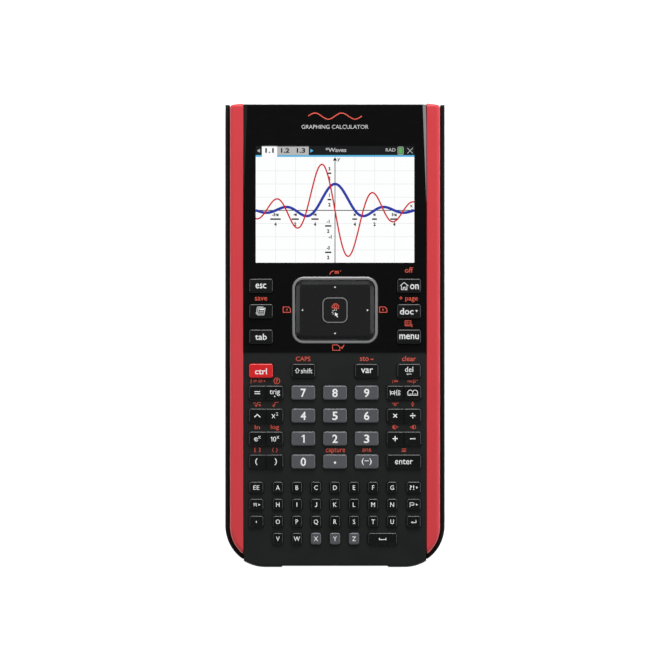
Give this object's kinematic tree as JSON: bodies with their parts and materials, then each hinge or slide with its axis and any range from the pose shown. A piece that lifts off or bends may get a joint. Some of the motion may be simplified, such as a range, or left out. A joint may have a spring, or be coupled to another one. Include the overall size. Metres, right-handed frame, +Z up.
{
  "type": "graphing calculator",
  "caption": "Handheld graphing calculator with a colour display, a four-way touchpad, sprung keys, red side strips and a hard slide cover parked on its back.",
  "frame": {"origin": "on the table, under the middle of the outline", "axes": "+Z up out of the keys, +Y from the keyboard to the display, +X to the right of someone who reads the display"},
  "size_m": [0.0908, 0.1908, 0.0184],
  "materials": {
    "case_black": "fine-textured moulded plastic, near black",
    "cover_black": "fine-textured moulded plastic, black",
    "bezel_gloss": "polished black plastic",
    "strip_red": "satin red moulded plastic",
    "clear_window": "clear acrylic",
    "display_glass": "lit colour display",
    "diffuser_white": "white diffuser film",
    "sheet_steel": "tinned steel sheet",
    "screw_steel": "plated steel",
    "board_green": "green lacquered circuit board",
    "mat_rubber": "grey silicone rubber",
    "battery_wrap": "blue wrapped cell",
    "foot_rubber": "black rubber",
    "connector_black": "black connector plastic",
    "ring_silver": "satin silver plating",
    "touchpad_black": "satin black plastic",
    "key_black": "satin black key plastic",
    "key_grey": "satin grey key plastic",
    "key_red": "satin red key plastic",
    "legend_white": "white pad-printed ink",
    "label_orange": "orange pad-printed ink",
    "lit_picture": "lit picture on the display"
  },
  "bodies": {
    "case": {"battery_door": "case_black", "battery_door_screws": "screw_steel", "battery_pack": "battery_wrap", "case_screws": "screw_steel", "contact_domes": "screw_steel", "display_backlight": "diffuser_white", "display_panel": "display_glass", "display_tray": "sheet_steel", "display_window": "clear_window", "dock_connector": "connector_black", "front_housing": "case_black", "keypad_mat": "mat_rubber", "main_board": "board_green", "processor_shield": "sheet_steel", "rear_housing": "case_black", "rubber_feet": "foot_rubber", "screen_bezel": "bezel_gloss", "side_strip_left": "strip_red", "side_strip_right": "strip_red", "touchpad_ring": "ring_silver", "usb_socket": "sheet_steel"},
    "slide_cover": {"slide_cover": "cover_black"},
    "touchpad_carrier": {"touchpad_carrier": "case_black"},
    "touchpad_plate": {"touchpad_plate": "touchpad_black"},
    "touchpad_button": {"touchpad_button": "touchpad_black"},
    "reset_button": {"reset_button": "key_black"},
    "key_0": {"key_0": "key_grey"},
    "key_1": {"key_1": "key_grey"},
    "key_2": {"key_2": "key_grey"},
    "key_3": {"key_3": "key_grey"},
    "key_4": {"key_4": "key_grey"},
    "key_5": {"key_5": "key_grey"},
    "key_6": {"key_6": "key_grey"},
    "key_7": {"key_7": "key_grey"},
    "key_8": {"key_8": "key_grey"},
    "key_9": {"key_9": "key_grey"},
    "key_control": {"key_control": "key_red"},
    "key_delete": {"key_delete": "key_black"},
    "key_document": {"key_document": "key_black"},
    "key_enter": {"key_enter": "key_black"},
    "key_escape": {"key_escape": "key_black"},
    "key_home_on": {"key_home_on": "key_black"},
    "key_menu": {"key_menu": "key_black"},
    "key_negative": {"key_negative": "key_grey"},
    "key_point": {"key_point": "key_grey"},
    "key_scratchpad": {"key_scratchpad": "key_black"},
    "key_shift": {"key_shift": "key_black"},
    "key_tab": {"key_tab": "key_black"},
    "key_variable": {"key_variable": "key_black"},
    "letter_keys_row_1": {"letter_keys_row_1": "key_black"},
    "letter_keys_row_2": {"letter_keys_row_2": "key_black"},
    "letter_keys_row_3": {"letter_keys_row_3": "key_black"},
    "letter_keys_row_4": {"letter_keys_row_4": "key_black"},
    "rocker_brackets": {"rocker_brackets": "key_black"},
    "rocker_exponentials": {"rocker_exponentials": "key_black"},
    "rocker_power_square": {"rocker_power_square": "key_black"},
    "rocker_equals_trig": {"rocker_equals_trig": "key_black"},
    "rocker_add_subtract": {"rocker_add_subtract": "key_black"},
    "rocker_multiply_divide": {"rocker_multiply_divide": "key_black"},
    "rocker_templates": {"rocker_templates": "key_black"}
  },
  "joints": [
    {"name": "slide_cover_slide", "type": "slide", "parent": "case", "child": "slide_cover", "axis": [0, -1, 0], "range_m": [0, 0.2]},
    {"name": "touchpad_pitch", "type": "hinge", "parent": "case", "child": "touchpad_carrier", "pos_m": [0, 0.01028, 0.015], "axis": [1, 0, 0], "range_deg": [-1.5, 1.5], "stiffness_Nm_per_rad": 0.3},
    {"name": "touchpad_roll", "type": "hinge", "parent": "touchpad_carrier", "child": "touchpad_plate", "pos_m": [0, 0.01028, 0.015], "axis": [0, 1, 0], "range_deg": [-1.5, 1.5], "stiffness_Nm_per_rad": 0.3},
    {"name": "touchpad_click", "type": "slide", "parent": "touchpad_plate", "child": "touchpad_button", "axis": [0, 0, -1], "range_m": [0, 0.0005], "stiffness_N_per_m": 2000},
    {"name": "reset_press", "type": "slide", "parent": "case", "child": "reset_button", "axis": [0, 0, 1], "range_m": [0, 0.0005], "stiffness_N_per_m": 1500},
    {"name": "key_0_press", "type": "slide", "parent": "case", "child": "key_0", "axis": [0, 0, -1], "range_m": [0, 0.0008], "stiffness_N_per_m": 1200},
    {"name": "key_1_press", "type": "slide", "parent": "case", "child": "key_1", "axis": [0, 0, -1], "range_m": [0, 0.0008], "stiffness_N_per_m": 1200},
    {"name": "key_2_press", "type": "slide", "parent": "case", "child": "key_2", "axis": [0, 0, -1], "range_m": [0, 0.0008], "stiffness_N_per_m": 1200},
    {"name": "key_3_press", "type": "slide", "parent": "case", "child": "key_3", "axis": [0, 0, -1], "range_m": [0, 0.0008], "stiffness_N_per_m": 1200},
    {"name": "key_4_press", "type": "slide", "parent": "case", "child": "key_4", "axis": [0, 0, -1], "range_m": [0, 0.0008], "stiffness_N_per_m": 1200},
    {"name": "key_5_press", "type": "slide", "parent": "case", "child": "key_5", "axis": [0, 0, -1], "range_m": [0, 0.0008], "stiffness_N_per_m": 1200},
    {"name": "key_6_press", "type": "slide", "parent": "case", "child": "key_6", "axis": [0, 0, -1], "range_m": [0, 0.0008], "stiffness_N_per_m": 1200},
    {"name": "key_7_press", "type": "slide", "parent": "case", "child": "key_7", "axis": [0, 0, -1], "range_m": [0, 0.0008], "stiffness_N_per_m": 1200},
    {"name": "key_8_press", "type": "slide", "parent": "case", "child": "key_8", "axis": [0, 0, -1], "range_m": [0, 0.0008], "stiffness_N_per_m": 1200},
    {"name": "key_9_press", "type": "slide", "parent": "case", "child": "key_9", "axis": [0, 0, -1], "range_m": [0, 0.0008], "stiffness_N_per_m": 1200},
    {"name": "key_control_press", "type": "slide", "parent": "case", "child": "key_control", "axis": [0, 0, -1], "range_m": [0, 0.0008], "stiffness_N_per_m": 1200},
    {"name": "key_delete_press", "type": "slide", "parent": "case", "child": "key_delete", "axis": [0, 0, -1], "range_m": [0, 0.0008], "stiffness_N_per_m": 1200},
    {"name": "key_document_press", "type": "slide", "parent": "case", "child": "key_document", "axis": [0, 0, -1], "range_m": [0, 0.0008], "stiffness_N_per_m": 1200},
    {"name": "key_enter_press", "type": "slide", "parent": "case", "child": "key_enter", "axis": [0, 0, -1], "range_m": [0, 0.0008], "stiffness_N_per_m": 1200},
    {"name": "key_escape_press", "type": "slide", "parent": "case", "child": "key_escape", "axis": [0, 0, -1], "range_m": [0, 0.0008], "stiffness_N_per_m": 1200},
    {"name": "key_home_on_press", "type": "slide", "parent": "case", "child": "key_home_on", "axis": [0, 0, -1], "range_m": [0, 0.0008], "stiffness_N_per_m": 1200},
    {"name": "key_menu_press", "type": "slide", "parent": "case", "child": "key_menu", "axis": [0, 0, -1], "range_m": [0, 0.0008], "stiffness_N_per_m": 1200},
    {"name": "key_negative_press", "type": "slide", "parent": "case", "child": "key_negative", "axis": [0, 0, -1], "range_m": [0, 0.0008], "stiffness_N_per_m": 1200},
    {"name": "key_point_press", "type": "slide", "parent": "case", "child": "key_point", "axis": [0, 0, -1], "range_m": [0, 0.0008], "stiffness_N_per_m": 1200},
    {"name": "key_scratchpad_press", "type": "slide", "parent": "case", "child": "key_scratchpad", "axis": [0, 0, -1], "range_m": [0, 0.0008], "stiffness_N_per_m": 1200},
    {"name": "key_shift_press", "type": "slide", "parent": "case", "child": "key_shift", "axis": [0, 0, -1], "range_m": [0, 0.0008], "stiffness_N_per_m": 1200},
    {"name": "key_tab_press", "type": "slide", "parent": "case", "child": "key_tab", "axis": [0, 0, -1], "range_m": [0, 0.0008], "stiffness_N_per_m": 1200},
    {"name": "key_variable_press", "type": "slide", "parent": "case", "child": "key_variable", "axis": [0, 0, -1], "range_m": [0, 0.0008], "stiffness_N_per_m": 1200},
    {"name": "letter_keys_row_1_press", "type": "slide", "parent": "case", "child": "letter_keys_row_1", "axis": [0, 0, -1], "range_m": [0, 0.0008], "stiffness_N_per_m": 4000},
    {"name": "letter_keys_row_2_press", "type": "slide", "parent": "case", "child": "letter_keys_row_2", "axis": [0, 0, -1], "range_m": [0, 0.0008], "stiffness_N_per_m": 4000},
    {"name": "letter_keys_row_3_press", "type": "slide", "parent": "case", "child": "letter_keys_row_3", "axis": [0, 0, -1], "range_m": [0, 0.0008], "stiffness_N_per_m": 4000},
    {"name": "letter_keys_row_4_press", "type": "slide", "parent": "case", "child": "letter_keys_row_4", "axis": [0, 0, -1], "range_m": [0, 0.0008], "stiffness_N_per_m": 4000},
    {"name": "rocker_brackets_tilt", "type": "hinge", "parent": "case", "child": "rocker_brackets", "pos_m": [-0.0283, -0.05192, 0.015], "axis": [0, 1, 0], "range_deg": [-2.5, 2.5], "stiffness_Nm_per_rad": 0.06},
    {"name": "rocker_exponentials_tilt", "type": "hinge", "parent": "case", "child": "rocker_exponentials", "pos_m": [-0.0283, -0.04249, 0.015], "axis": [0, 1, 0], "range_deg": [-2.5, 2.5], "stiffness_Nm_per_rad": 0.06},
    {"name": "rocker_power_square_tilt", "type": "hinge", "parent": "case", "child": "rocker_power_square", "pos_m": [-0.0283, -0.03306, 0.015], "axis": [0, 1, 0], "range_deg": [-2.5, 2.5], "stiffness_Nm_per_rad": 0.06},
    {"name": "rocker_equals_trig_tilt", "type": "hinge", "parent": "case", "child": "rocker_equals_trig", "pos_m": [-0.0283, -0.02363, 0.015], "axis": [0, 1, 0], "range_deg": [-2.5, 2.5], "stiffness_Nm_per_rad": 0.06},
    {"name": "rocker_add_subtract_tilt", "type": "hinge", "parent": "case", "child": "rocker_add_subtract", "pos_m": [0.0283, -0.04249, 0.015], "axis": [0, 1, 0], "range_deg": [-2.5, 2.5], "stiffness_Nm_per_rad": 0.06},
    {"name": "rocker_multiply_divide_tilt", "type": "hinge", "parent": "case", "child": "rocker_multiply_divide", "pos_m": [0.0283, -0.03306, 0.015], "axis": [0, 1, 0], "range_deg": [-2.5, 2.5], "stiffness_Nm_per_rad": 0.06},
    {"name": "rocker_templates_tilt", "type": "hinge", "parent": "case", "child": "rocker_templates", "pos_m": [0.0283, -0.02363, 0.015], "axis": [0, 1, 0], "range_deg": [-2.5, 2.5], "stiffness_Nm_per_rad": 0.06}
  ]
}
